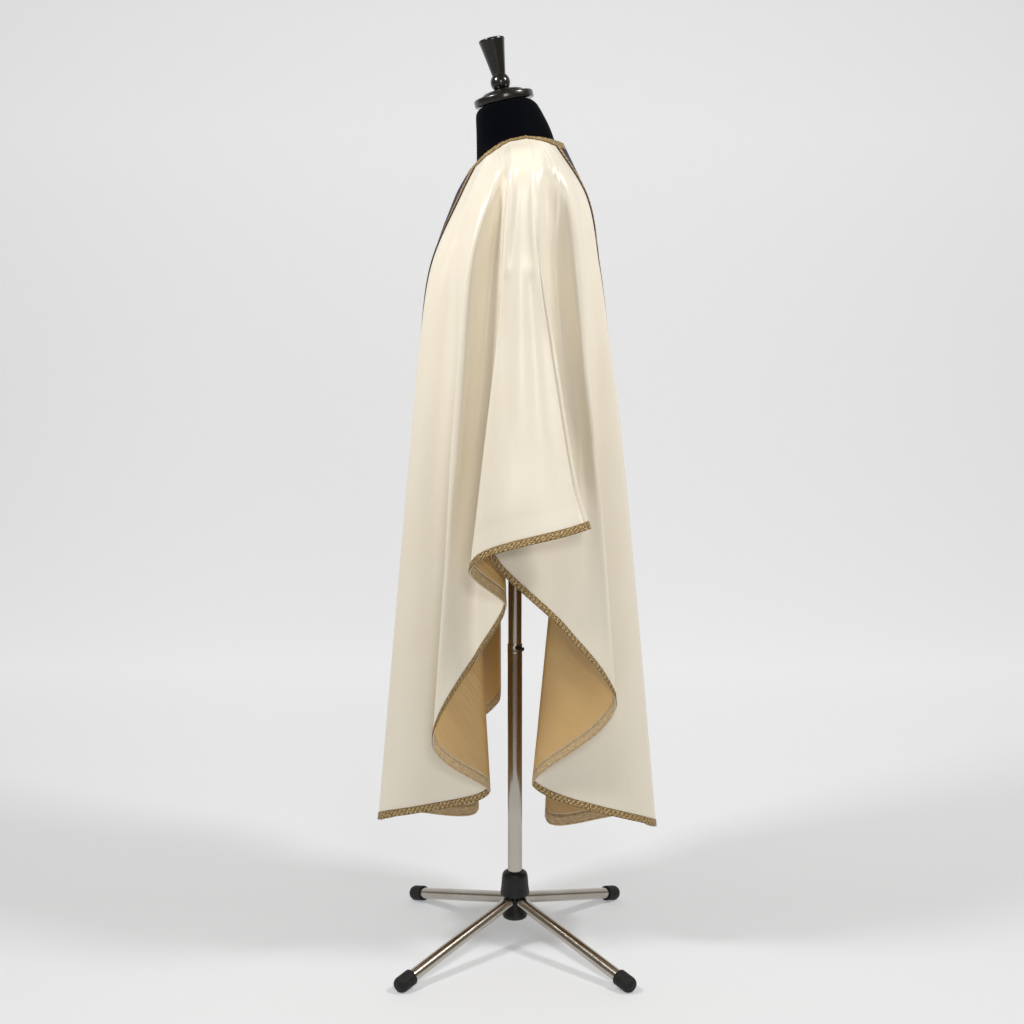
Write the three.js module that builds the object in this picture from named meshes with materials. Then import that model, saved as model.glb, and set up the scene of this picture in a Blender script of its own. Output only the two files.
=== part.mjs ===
// A gothic chasuble, worn by a limbless dress form on a four-legged steel stand.
// Millimetres, +Z up. The front of the garment faces -Y and the wearer's left is +X.
// The origin is on the floor, under the middle of the whole part.
import * as THREE from 'three';

// ---------------------------------------------------------------- driving dimensions
const PART_MIDDLE = { x: 1.3, y: 3 };   // the middle of the whole part, seen from its pole
const FAR_SIDE_DROP = 30;         // the wearer's right side hangs this much lower

// the cloth, as distances outwards from the outer face of the satin
const SATIN = 1.2;                // thickness of the satin
const TURN_UP = 2.5;              // thickness of satin and turned-up hem together
const TURN_UP_HEIGHT = 22;
const TURN_UP_STEP = 0.08;        // share of the turn-up over which its thickness grows
const SEAM_GAP = 0.3;
const LINING = 1.0;
const LINING_SHORT = 2;           // the lining stops this far above the turned-up hem
const ORPHREY = 1.0;
const BRAID = 1.2;
const BRAID_WIDTH = 14;
const ORPHREY_HALF = 50;          // from the centre line to the outer edge of its braid

// the neck opening, an oval that rises from the throat over the shoulders to the nape
const NECK = { halfWidth: 72, halfLength: 86, middleY: 2, throat: 1471, shoulder: 1527,
  nape: 1521, shoulderAngle: 102 };

// heights of the level sections between the shoulder and the hem
const LEVEL = { chest: 1300, ribs: 1150, hip: 950 };
// how far down the cloth each station lies, from 0 at the neck to 1 at the hem
const STATIONS = [0, 0.12, 0.26, 0.40, 0.58, 1];
const ROUNDNESS = { atNeck: 0.45, growth: 1.2 };   // how softly folds turn, from the neck down
const ROWS = [0.12, 0.21, 0.31, 0.4, 0.49, 0.58, 0.72, 0.88];
const HALVINGS = 24;              // how often a distance along the cloth is halved to find it
const MITRE_LIMIT = 0.5;          // keeps the layers from spreading at a sharp fold

// One row for each fold line, from the centre front round the wearer's left to the centre
// back. neck is its place on the neck oval in degrees, round how softly the cloth turns
// there, cells the columns of cloth up to the next line.
const FOLD_COLUMNS = ['name', 'neck', 'round', 'cells', 'shoulder', 'chest', 'ribs', 'hip', 'hem'];
const FOLDS = [
  ['centre_front', 0, 1.0, 2, [0, -112, 1417], [0, -150], [0, -162], [0, -175], [0, -236, 252]],
  ['front_bulge', 46, 1.1, 4, [68, -87, 1431], [80, -147], [85, -171], [88, -190], [76, -254, 271]],
  ['front_valley', 54, 0.5, 4, [112, -70, 1438], [119, -110], [128, -96], [133, -84], [80, -50, 320]],
  ['front_ridge', 62, 0.9, 2, [143, -37, 1447], [163, -78], [168, -94], [171, -112], [165, -149, 437]],
  ['front_groove', 66, 0.6, 2, [147, -26, 1451], [138, -42], [138, -55], [141, -70], [166, -68, 598]],
  ['sleeve_valley', 70, 0.5, 3, [155, -17, 1456], [151, -18], [152, -26], [162, -26], [185, -16, 693]],
  ['sleeve_front', 82, 0.65, 2, [183, -8, 1468], [201, -19], [208, -35], [224, -59], [243, -79, 770]],
  ['shoulder_seam', 102, 1.0, 1, [187, 31, 1469], [207, 38], [216, 58], [238, 91], [258, 116, 840]],
  ['sleeve_back', 106, 0.7, 3, [186, 44, 1466], [205, 50], [213, 70], [236, 101], [255, 128, 844]],
  ['sleeve_inside', 112, 0.5, 2, [171, 60, 1462], [160, 50], [170, 42], [202, -14], [226, -40, 795]],
  ['back_wave', 117, 0.8, 3, [161, 73, 1456], [151, 74], [151, 90], [164, 110], [206, 90, 650]],
  ['back_ridge', 122, 0.9, 4, [150, 88, 1448], [162, 110], [168, 124], [173, 147], [185, 179, 515]],
  ['back_valley', 127, 0.5, 4, [122, 102, 1440], [128, 118], [134, 114], [140, 92], [80, 35, 334]],
  ['back_bulge', 132, 1.1, 2, [70, 125, 1425], [80, 149], [85, 168], [88, 193], [70, 260, 256]],
  ['centre_back', 180, 1.0, 0, [0, 134, 1417], [0, 148], [0, 163], [0, 180], [0, 250, 240]],
].map((row) => Object.fromEntries(FOLD_COLUMNS.map((column, i) => [column, row[i]])));

// The wearer's right side mirrors the left one, but for its own hem.
const FAR_HEM = {
  front_bulge: [76, -250, 240], front_valley: [70, -73, 239], front_ridge: [165, -152, 352],
  front_groove: [160, -86, 392], sleeve_valley: [172, -30, 440], sleeve_front: [236, -88, 706], back_wave: [200, 84, 600],
  back_ridge: [180, 176, 452], back_valley: [70, 63, 219], back_bulge: [72, 256, 236],
};

// the dress form, level sections from the base up: widest is the Y of its widest place
const TORSO_COLUMNS = ['z', 'halfWidth', 'front', 'back', 'widest', 'squareFront', 'squareBack'];
const TORSO = [
  [876, 138, -84, 98, 4, 2.3, 2.3],
  [890, 150, -95, 109, 4, 2.3, 2.3],
  [950, 158, -100, 113, 4, 2.3, 2.3],
  [1040, 141, -96, 100, 2, 2.2, 2.2],
  [1150, 139, -108, 99, 0, 2.2, 2.3],
  [1250, 137, -112, 103, 0, 2.2, 2.4],
  [1330, 139, -105, 108, 6, 2.1, 2.4],
  [1390, 152, -92, 109, 13, 1.8, 2.1],
  [1430, 170, -80, 106, 24, 1.5, 1.8],
  [1452, 178, -73, 100, 29, 1.35, 1.55],
  [1466, 179, -72, 94, 31, 1.28, 1.42],
  [1480, 155, -71, 86, 31, 1.33, 1.42],
  [1494, 127, -71, 80, 29, 1.38, 1.48],
  [1508, 99, -71, 77, 25, 1.45, 1.58],
  [1519, 73.5, -71, 75, 18, 1.6, 1.75],
  [1528, 64, -71, 72, 10, 1.8, 1.9],
].map((row) => Object.fromEntries(TORSO_COLUMNS.map((column, i) => [column, row[i]])));

// the neck of the form, its cap and the finial all lean forwards
const LEAN = 12;                                // degrees
const NECK_TOP = { y: -19, z: 1594, radius: 54 };
// share of the way up, half width, front and back
const NECK_RINGS = [[0.3, 60, -71, 64], [0.65, 56, -72, 49]];
// the cap and the finial, as pairs of radius and height above the top of the neck
const CAP = [[53, 0], [54.5, 2], [54.5, 11], [51.5, 14], [40, 14.5], [36, 19], [24, 23], [14, 24]];
const BALL = { radius: 18, middle: 37.3, turns: [-42, -20, 0, 20, 42] };   // turns in degrees
const FINIAL_FOOT = [13, 24.3];
const FINIAL_CONE = [[12.5, 51.7], [24, 111], [23, 114], [18, 117]];

// the stand
const LOWER_TUBE = { radius: 13.9, bore: 13, top: 574 };
const UPPER_TUBE = { radius: 12.7, bottom: 300 };
const COLLAR = { radius: 14.1, height: 16, edgeHeight: 1, edgeIn: 0.5 };
// two small black pieces on the collar: across is the turn from the wearer's left to the back
const BUTTON = { across: 24, halfWidth: 6.5, halfHeight: 4.2, out: 1.6, height: 585 };
const LOCK_SCREW = { across: 84, halfWidth: 3.6, halfHeight: 3.6, out: 3.2, height: 580 };
const STUD_EDGE = { out: 0.6, share: 0.7 };     // where a stud starts to taper, and how far
const BASE_FLANGE = { radius: 42, thickness: 6, edge: 2 };
// the hub from its foot up, as pairs of radius and height
const HUB = [[21, 52], [23.5, 55], [23, 60], [18, 66], [13.5, 73], [11.5, 80], [11.5, 97], [27, 97],
  [28, 101], [26.5, 112], [25, 131], [22.5, 139], [18, 143], [15, 144]];
const LEG = { radius: 11.3, hubHeight: 85.7, hubReach: 18.8, footX: 230, footY: 201, footHeight: 15.2 };
// a foot reaches over its leg; its profile has pairs of radius and distance from its upper edge
const FOOT = { onLeg: 21, profile: [[13.8, 0], [15, 1.5], [15, 27], [13, 33], [8, 38]] };

// how many sides each kind of round piece has
const SIDES = { torso: 40, cap: 32, finial: 24, hub: 24, tube: 20, foot: 20, leg: 16, stud: 12 };

// ---------------------------------------------------------------- materials
function material(name, color, roughness, metalness) {
  return new THREE.MeshStandardMaterial({ name, color, roughness, metalness, side: THREE.FrontSide });
}

const ivorySatin = material('ivory_satin', 0xece5d3, 0.42, 0);
const goldLining = material('gold_lining', 0xc9a466, 0.38, 0);
const goldBraid = material('gold_braid', 0xa8894e, 0.45, 0.4);
const orphreyCloth = material('orphrey_cloth', 0x241c42, 0.6, 0);
const formCloth = material('form_cloth', 0x0a0e18, 0.85, 0);
const blackLacquer = material('black_lacquer', 0x14140f, 0.3, 0);
const steel = material('steel', 0xc4c4c4, 0.22, 1);
const blackRubber = material('black_rubber', 0x16181a, 0.7, 0);

const object = new THREE.Group();

// ---------------------------------------------------------------- meshes from rows of points
// One named body of the part, from its points and its triangles.
function addMesh(name, points, triangles, look) {
  const geometry = new THREE.BufferGeometry();
  geometry.setAttribute('position', new THREE.Float32BufferAttribute(points.flatMap((p) => [p.x, p.y, p.z]), 3));
  geometry.setIndex(triangles.flat());
  const mesh = new THREE.Mesh(geometry, look);
  mesh.name = name;
  mesh.position.set(-PART_MIDDLE.x, -PART_MIDDLE.y, 0);
  object.add(mesh);
}

// A solid wall between an outer and an inner sheet of points, both [row][column], rows
// going down and columns going round from the front over the wearer's left to the back.
function addWall(name, outer, inner, look, closed = false) {
  const rows = outer.length;
  const columns = outer[0].length;
  const points = [...outer.flat(), ...inner.flat()];
  const inside = rows * columns;
  const at = (r, c) => r * columns + (c % columns);
  const triangles = [];
  const quad = (a, b, c, d) => triangles.push([a, b, c], [a, c, d]);
  const last = closed ? columns : columns - 1;
  for (let r = 0; r + 1 < rows; r += 1) {
    for (let c = 0; c < last; c += 1) {
      const [a, b, d, e] = [at(r, c), at(r, c + 1), at(r + 1, c + 1), at(r + 1, c)];
      quad(a, e, d, b);
      quad(inside + a, inside + b, inside + d, inside + e);
    }
  }
  for (let c = 0; c < last; c += 1) {
    const [a, b] = [at(0, c), at(0, c + 1)];
    const [e, d] = [at(rows - 1, c), at(rows - 1, c + 1)];
    quad(a, b, inside + b, inside + a);
    quad(e, inside + e, inside + d, d);
  }
  for (let r = 0; r + 1 < rows && !closed; r += 1) {
    const [a, e] = [at(r, 0), at(r + 1, 0)];
    const [b, d] = [at(r, columns - 1), at(r + 1, columns - 1)];
    quad(a, inside + a, inside + e, e);
    quad(b, d, inside + d, inside + b);
  }
  addMesh(name, points, triangles, look);
}

// A solid through closed rings of points, lowest first, each ring going anticlockwise
// seen from above.
function addLoft(name, rings, look) {
  const sides = rings[0].length;
  const points = rings.flat();
  const triangles = [];
  for (let r = 0; r + 1 < rings.length; r += 1) {
    for (let s = 0; s < sides; s += 1) {
      const [a, b] = [r * sides + s, r * sides + ((s + 1) % sides)];
      triangles.push([a, b, b + sides], [a, b + sides, a + sides]);
    }
  }
  for (let s = 1; s + 1 < sides; s += 1) {
    const top = (rings.length - 1) * sides;
    triangles.push([0, s + 1, s], [top, top + s, top + s + 1]);
  }
  addMesh(name, points, triangles, look);
}

// ---------------------------------------------------------------- the form of the cloth
const vector = (x, y, z) => new THREE.Vector3(x, y, z);

// The neck oval, z rising and falling as half cosine waves.
function neckPoint(degrees, side) {
  const angle = THREE.MathUtils.degToRad(degrees);
  const over = degrees > NECK.shoulderAngle;
  const share = over ? (180 - degrees) / (180 - NECK.shoulderAngle) : degrees / NECK.shoulderAngle;
  const low = over ? NECK.nape : NECK.throat;
  const z = low + (NECK.shoulder - low) * (1 - Math.cos(Math.PI * share)) / 2;
  return vector(side * NECK.halfWidth * Math.sin(angle), NECK.middleY - NECK.halfLength * Math.cos(angle), z);
}

// The stations of one fold line on the left (side 1) or right (side -1).
function foldStations(fold, side) {
  let hem = fold.hem;
  if (side < 0 && FAR_HEM[fold.name]) hem = FAR_HEM[fold.name];
  else if (side < 0 && fold.neck > 0 && fold.neck < 180) hem = [hem[0], hem[1], hem[2] - FAR_SIDE_DROP];
  return [
    neckPoint(fold.neck, side),
    vector(side * fold.shoulder[0], fold.shoulder[1], fold.shoulder[2]),
    vector(side * fold.chest[0], fold.chest[1], LEVEL.chest),
    vector(side * fold.ribs[0], fold.ribs[1], LEVEL.ribs),
    vector(side * fold.hip[0], fold.hip[1], LEVEL.hip),
    vector(side * hem[0], hem[1], hem[2]),
  ];
}

// A smooth curve through points at uneven parameters.
function through(points, stops, value) {
  const last = points.length - 1;
  let i = 0;
  while (i < last - 1 && value > stops[i + 1]) i += 1;
  const slope = (k) => {
    const [a, b] = [Math.max(k - 1, 0), Math.min(k + 1, last)];
    return points[b].clone().sub(points[a]).divideScalar(stops[b] - stops[a]);
  };
  const span = stops[i + 1] - stops[i];
  const t = (value - stops[i]) / span;
  return hermite(points[i], points[i + 1], slope(i).multiplyScalar(span), slope(i + 1).multiplyScalar(span), t);
}

function hermite(a, b, startSlope, endSlope, t) {
  const [t2, t3] = [t * t, t * t * t];
  return a.clone().multiplyScalar(2 * t3 - 3 * t2 + 1)
    .addScaledVector(startSlope, t3 - 2 * t2 + t)
    .addScaledVector(b, 3 * t2 - 2 * t3)
    .addScaledVector(endSlope, t3 - t2);
}

// All fold lines once round: down the left half from front to back, then up the right.
const leftLines = FOLDS.map((fold) => ({ ...fold, stations: foldStations(fold, 1) }));
const rightLines = FOLDS.slice(1, -1).reverse().map((fold) => ({ ...fold, stations: foldStations(fold, -1) }));
const LINES = [...leftLines, ...rightLines];
const CENTRE_BACK = FOLDS.length - 1;

// A point of the satin's outer face: line counts fold lines and may lie between two of
// them, down runs from 0 at the neck to 1 at the hem.
function clothPoint(line, down) {
  const count = LINES.length;
  const start = Math.floor(line);
  const pick = (k) => LINES[((k % count) + count) % count];
  const place = (k) => through(pick(k).stations, STATIONS, down);
  const [before, a, b, after] = [place(start - 1), place(start), place(start + 1), place(start + 2)];
  const softness = (k) => 0.5 * pick(k).round * Math.min(1, ROUNDNESS.atNeck + ROUNDNESS.growth * down);
  const slopeA = tangent(before, a, b).multiplyScalar(softness(start) * a.distanceTo(b) * 2);
  const slopeB = tangent(a, b, after).multiplyScalar(softness(start + 1) * a.distanceTo(b) * 2);
  return hermite(a, b, slopeA, slopeB, line - start);
}

// The direction in which the cloth passes a fold line: square to the bisector of its sides.
function tangent(before, here, after) {
  const arrive = here.clone().sub(before).normalize();
  const leave = after.clone().sub(here).normalize();
  const direction = arrive.add(leave);
  return direction.lengthSq() > 1e-6 ? direction.normalize() : leave;
}

// The place between the centre line and the next fold line that lies width away from it.
function lineAtWidth(centre, toward, width, down) {
  let [near, far] = [0, 1];
  const start = clothPoint(centre, down);
  for (let step = 0; step < HALVINGS; step += 1) {
    const middle = (near + far) / 2;
    if (clothPoint(centre + toward * middle, down).distanceTo(start) < width) near = middle;
    else far = middle;
  }
  return centre + toward * near;
}

// ---------------------------------------------------------------- columns and rows of the cloth
// Each column is a function from the share of the way down to its line number.
const ORPHREY_COLUMNS = [12, 24, ORPHREY_HALF - BRAID_WIDTH, ORPHREY_HALF];

function centreColumns(centre, toward) {
  return ORPHREY_COLUMNS.map((width) => (down) => lineAtWidth(centre, toward, width, down));
}

// The columns beyond the orphrey up to the bulge next to it, which lies a whole line away.
function besideColumns(centre, toward, cells) {
  return Array.from({ length: cells - 1 }, (unused, i) => (down) => {
    const edge = Math.abs(lineAtWidth(centre, toward, ORPHREY_HALF, down) - centre);
    return centre + toward * (edge + (1 - edge) * (i + 1) / cells);
  });
}

function quarterColumns(centre, toward, end) {
  const columns = [...centreColumns(centre, toward)];
  const first = centre === 0 ? FOLDS[0].cells : FOLDS[CENTRE_BACK - 1].cells;
  columns.push(...besideColumns(centre, toward, first));
  const steps = Math.abs(end - centre);
  for (let k = 1; k < steps; k += 1) {
    const line = centre + toward * k;
    const cells = cellsBetween(line, line + toward);
    for (let i = 0; i < cells; i += 1) columns.push(() => line + toward * i / cells);
  }
  columns.push(() => end);
  return columns;
}

function cellsBetween(a, b) {
  const count = LINES.length;
  const lower = Math.min(a, b);
  const index = ((lower % count) + count) % count;
  return index < CENTRE_BACK ? LINES[index].cells : LINES[(index + 1) % count].cells;
}

// A panel runs from one shoulder seam over its centre line to the other.
const SEAM = FOLDS.findIndex((fold) => fold.name === 'shoulder_seam');

function panelColumns(centre, from, to) {
  const before = quarterColumns(centre, -1, from).reverse();
  const after = quarterColumns(centre, 1, to);
  return [...before, () => centre, ...after];
}

const frontColumns = panelColumns(0, -SEAM, SEAM);
const backColumns = panelColumns(CENTRE_BACK, SEAM, LINES.length - SEAM);

// The share of the way down at which a column is distance away from its end.
function downAtDistance(column, end, distance) {
  const origin = clothPoint(column(end), end);
  let [near, far] = [end, end === 0 ? STATIONS[1] : STATIONS[4]];
  for (let step = 0; step < HALVINGS; step += 1) {
    const middle = (near + far) / 2;
    if (clothPoint(column(middle), middle).distanceTo(origin) < distance) near = middle;
    else far = middle;
  }
  return near;
}

function panelPoints(columns) {
  const shares = columns.map((column) => [
    0,
    downAtDistance(column, 0, BRAID_WIDTH),
    ...ROWS,
    downAtDistance(column, 1, TURN_UP_HEIGHT),
    downAtDistance(column, 1, BRAID_WIDTH),
    1,
  ]);
  return shares[0].map((unused, r) => columns.map((column, c) => clothPoint(column(shares[c][r]), shares[c][r])));
}

// Outward directions at the points of the whole ring of cloth, long enough that a sheet
// moved along them keeps its distance from both faces beside a fold.
function ringNormals(points) {
  const rows = points.length;
  const columns = points[0].length;
  return points.map((row, r) => row.map((point, c) => {
    const down = points[Math.min(r + 1, rows - 1)][c].clone().sub(points[Math.max(r - 1, 0)][c]);
    const left = point.clone().sub(row[(c + columns - 1) % columns]);
    const right = row[(c + 1) % columns].clone().sub(point);
    const faces = [left, right].map((edge) => down.clone().cross(edge).normalize());
    const normal = faces[0].clone().add(faces[1]).normalize();
    return normal.divideScalar(Math.max(MITRE_LIMIT, faces[0].dot(normal)));
  }));
}

// The shoulder seams part the two panels: each panel's edge columns are drawn in a little.
function partSeams(points) {
  for (const row of points) {
    const last = row.length - 1;
    for (const [edge, next] of [[0, 1], [last, last - 1]]) {
      const inward = row[next].clone().sub(row[edge]).setLength(SEAM_GAP / 2);
      row[edge] = row[edge].clone().add(inward);
    }
  }
}

const frontPoints = panelPoints(frontColumns);
const backPoints = panelPoints(backColumns);
const normals = ringNormals(frontPoints.map((row, r) => [...row, ...backPoints[r].slice(1, -1)]));
const frontGrid = { points: frontPoints, normals: normals.map((row) => row.slice(0, frontColumns.length)) };
const backGrid = {
  points: backPoints,
  normals: normals.map((row) => [...row.slice(frontColumns.length - 1), row[0]]),
};
for (const grid of [frontGrid, backGrid]) partSeams(grid.points);

const ROW = {
  neck: 0, neckBraidEnd: 1, turnUp: frontGrid.points.length - 3,
  hemBraid: frontGrid.points.length - 2, hem: frontGrid.points.length - 1,
};

// ---------------------------------------------------------------- layers of cloth
// A sheet moved outwards from the satin's outer face, cut to some rows and columns.
function layer(grid, distance, rows, columns) {
  return rows.map((r) => columns.map((c) => {
    const away = typeof distance === 'function' ? distance(r) : distance;
    return grid.points[r][c].clone().addScaledVector(grid.normals[r][c], away);
  }));
}

const range = (from, to) => Array.from({ length: to - from + 1 }, (unused, i) => from + i);

// Moves the first or last row of a sheet along itself, to part it from its neighbour.
function trimRow(sheet, end, gap = SEAM_GAP) {
  const edge = end === 'top' ? 0 : sheet.length - 1;
  const next = end === 'top' ? 1 : sheet.length - 2;
  sheet[edge].forEach((point, c) => {
    const inward = sheet[next][c].clone().sub(point).setLength(gap);
    point.add(inward);
  });
  return sheet;
}

function trimmed(outer, inner, ends, gap) {
  for (const end of ends) {
    trimRow(outer, end, gap);
    trimRow(inner, end, gap);
  }
  return [outer, inner];
}

// The satin, with its hem turned up inside.
function addSatin(name, grid) {
  const rows = [...range(ROW.neck, ROW.turnUp), ROW.turnUp, ROW.hemBraid, ROW.hem];
  const columns = range(0, grid.points[0].length - 1);
  const outer = layer(grid, 0, rows, columns);
  const inner = layer(grid, -SATIN, rows, columns);
  const step = ROW.turnUp + 1;
  for (let r = step; r < rows.length; r += 1) {
    inner[r] = layer(grid, -TURN_UP, [rows[r]], columns)[0];
  }
  // the outer face needs no step, so the turn-up's row is put a little lower there
  outer[step] = outer[step].map((point, c) => point.clone().lerp(outer[step + 1][c], TURN_UP_STEP));
  inner[step] = inner[step].map((point, c) => point.clone().lerp(inner[step + 1][c], TURN_UP_STEP));
  addWall(name, outer, inner, ivorySatin);
}

function addLining(name, grid) {
  const rows = range(ROW.neck, ROW.turnUp);
  const columns = range(0, grid.points[0].length - 1);
  const near = -SATIN - SEAM_GAP;
  const [outer, inner] = [near, near - LINING].map((distance) => layer(grid, distance, rows, columns));
  addWall(name, ...trimmed(outer, inner, ['bottom'], LINING_SHORT), goldLining);
}

addSatin('front_panel', frontGrid);
addSatin('back_panel', backGrid);
addLining('front_lining', frontGrid);
addLining('back_lining', backGrid);

// The orphrey lies on the satin between the neck braid and the hem braid, and its two
// braids lie on its edges.
function addOrphrey(prefix, grid, leftFirst) {
  const rows = range(ROW.neckBraidEnd, ROW.hemBraid);
  const middle = (grid.points[0].length - 1) / 2;
  const reach = ORPHREY_COLUMNS.length;
  const columns = range(middle - reach, middle + reach);
  const cloth = SEAM_GAP + ORPHREY;
  addWall(`${prefix}_orphrey`,
    ...trimmed(layer(grid, cloth, rows, columns), layer(grid, SEAM_GAP, rows, columns), ['top', 'bottom']),
    orphreyCloth);
  const edges = [range(middle - reach, middle - reach + 1), range(middle + reach - 1, middle + reach)];
  const sides = leftFirst ? ['left', 'right'] : ['right', 'left'];
  edges.forEach((edge, i) => {
    const low = cloth + SEAM_GAP;
    addWall(`${prefix}_braid_${sides[i]}`,
      ...trimmed(layer(grid, low + BRAID, rows, edge), layer(grid, low, rows, edge), ['top', 'bottom']),
      goldBraid);
  });
}

addOrphrey('front', frontGrid, false);
addOrphrey('back', backGrid, true);

function addHemBraid(name, grid) {
  const rows = [ROW.hemBraid, ROW.hem];
  const columns = range(0, grid.points[0].length - 1);
  addWall(name, layer(grid, SEAM_GAP + BRAID, rows, columns), layer(grid, SEAM_GAP, rows, columns), goldBraid);
}

addHemBraid('front_hem_braid', frontGrid);
addHemBraid('back_hem_braid', backGrid);

// The neck braid is one length, closed round the neck; it passes over both shoulder seams.
function addNeckBraid() {
  const rows = [ROW.neck, ROW.neckBraidEnd];
  const ring = (away) => {
    const front = layer(frontGrid, away, rows, range(0, frontGrid.points[0].length - 1));
    const back = layer(backGrid, away, rows, range(1, backGrid.points[0].length - 2));
    return front.map((row, r) => [...row, ...back[r]]);
  };
  addWall('neck_braid', ring(SEAM_GAP + BRAID), ring(SEAM_GAP), goldBraid, true);
}

addNeckBraid();

// ---------------------------------------------------------------- the dress form
// One ring of the torso: an oval whose front and back halves have their own reach.
function torsoRing(section) {
  return range(0, SIDES.torso - 1).map((s) => {
    const angle = 2 * Math.PI * s / SIDES.torso;
    const [c, n] = [Math.cos(angle), Math.sin(angle)];
    const reach = n < 0 ? section.widest - section.front : section.back - section.widest;
    const power = 2 / (n < 0 ? section.squareFront : section.squareBack);
    const bent = (value) => Math.sign(value) * Math.abs(value) ** power;
    return vector(section.halfWidth * bent(c), section.widest + reach * bent(n), section.z);
  });
}

// The top of the neck, a level circle leaned forwards about its own middle.
function leaned(point) {
  const lean = THREE.MathUtils.degToRad(LEAN);
  return point.clone().applyAxisAngle(vector(1, 0, 0), lean).add(vector(0, NECK_TOP.y, NECK_TOP.z));
}

function neckRing(share, halfWidth, front, back) {
  const base = torsoRing(TORSO[TORSO.length - 1]);
  const top = circle(NECK_TOP.radius, 0, SIDES.torso).map(leaned);
  const height = (s) => THREE.MathUtils.lerp(base[s].z, top[s].z, share);
  const middle = (front + back) / 2;
  return base.map((unused, s) => {
    const angle = 2 * Math.PI * s / SIDES.torso;
    return vector(halfWidth * Math.cos(angle), middle + (back - front) / 2 * Math.sin(angle), height(s));
  });
}

function circle(radius, z, sides) {
  return range(0, sides - 1).map((s) => {
    const angle = 2 * Math.PI * s / sides;
    return vector(radius * Math.cos(angle), radius * Math.sin(angle), z);
  });
}

addLoft('torso', [
  ...TORSO.map(torsoRing),
  ...NECK_RINGS.map((ring) => neckRing(...ring)),
  circle(NECK_TOP.radius, -SEAM_GAP, SIDES.torso).map(leaned),
], formCloth);

// A turned piece on the leaned axis of the neck, from pairs of radius and height.
function addTurned(name, profile, sides, look) {
  addLoft(name, profile.map(([radius, z]) => circle(radius, z, sides).map(leaned)), look);
}

const ballRings = BALL.turns.map((degrees) => {
  const angle = THREE.MathUtils.degToRad(degrees);
  return [BALL.radius * Math.cos(angle), BALL.middle + BALL.radius * Math.sin(angle)];
});
addTurned('neck_cap', CAP, SIDES.cap, blackLacquer);
addTurned('finial', [FINIAL_FOOT, ...ballRings, ...FINIAL_CONE], SIDES.finial, blackLacquer);

// ---------------------------------------------------------------- the pole
function addRod(name, rings, look, sides = SIDES.tube) {
  addLoft(name, rings.map(([radius, z]) => circle(radius, z, sides)), look);
}

const torsoBase = TORSO[0].z;
const flangeTop = torsoBase - SEAM_GAP;
const flangeBottom = flangeTop - BASE_FLANGE.thickness;
addRod('base_flange', [
  [BASE_FLANGE.radius - BASE_FLANGE.edge, flangeBottom],
  [BASE_FLANGE.radius, flangeBottom + BASE_FLANGE.edge],
  [BASE_FLANGE.radius, flangeTop],
], blackLacquer);
addRod('upper_tube', [[UPPER_TUBE.radius, UPPER_TUBE.bottom], [UPPER_TUBE.radius, flangeBottom - SEAM_GAP]], steel);

// A ring or a tube with a bore, through both ends.
function addSleeve(name, outerRings, bore, look) {
  const outer = outerRings.map(([radius, z]) => circle(radius, z, SIDES.tube)).reverse();
  const inner = outerRings.map(([, z]) => circle(bore, z, SIDES.tube)).reverse();
  addWall(name, outer, inner, look, true);
}

const tubeBottom = HUB[HUB.length - 1][1] + SEAM_GAP;
addSleeve('lower_tube', [[LOWER_TUBE.radius, tubeBottom], [LOWER_TUBE.radius, LOWER_TUBE.top]],
  LOWER_TUBE.bore, steel);
const collarBottom = LOWER_TUBE.top + SEAM_GAP;
addSleeve('tube_collar', [
  [COLLAR.radius, collarBottom], [COLLAR.radius, collarBottom + COLLAR.height - COLLAR.edgeHeight],
  [COLLAR.radius - COLLAR.edgeIn, collarBottom + COLLAR.height],
], LOWER_TUBE.bore, steel);

// A small oval piece that stands out of the collar.
function addStud(name, stud) {
  const angle = THREE.MathUtils.degToRad(stud.across);
  const outward = vector(Math.cos(angle), Math.sin(angle), 0);
  const up = vector(0, 0, 1);
  const beside = up.clone().cross(outward);
  const ring = (share, out) => range(0, SIDES.stud - 1).map((s) => {
    const turn = 2 * Math.PI * s / SIDES.stud;
    return vector(0, 0, stud.height).addScaledVector(outward, out)
      .addScaledVector(beside, share * stud.halfWidth * Math.cos(turn))
      .addScaledVector(up, share * stud.halfHeight * Math.sin(turn));
  });
  const foot = COLLAR.radius + SEAM_GAP;
  addLoft(name, [ring(1, foot), ring(1, foot + stud.out * STUD_EDGE.out), ring(STUD_EDGE.share, foot + stud.out)], blackLacquer);
}

addStud('snap_button', BUTTON);
addStud('lock_screw', LOCK_SCREW);

// ---------------------------------------------------------------- hub, legs and feet
addRod('hub', HUB, blackRubber, SIDES.hub);

// Rings of points round a line, from pairs of radius and distance from its start.
function ringsAlong(start, end, profile, sides) {
  const along = end.clone().sub(start).normalize();
  const beside = vector(0, 0, 1).cross(along).normalize();
  const above = along.clone().cross(beside);
  return profile.map(([radius, distance]) => range(0, sides - 1).map((s) => {
    const angle = 2 * Math.PI * s / sides;
    return start.clone().addScaledVector(along, distance)
      .addScaledVector(beside, radius * Math.cos(angle)).addScaledVector(above, radius * Math.sin(angle));
  }));
}

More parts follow.
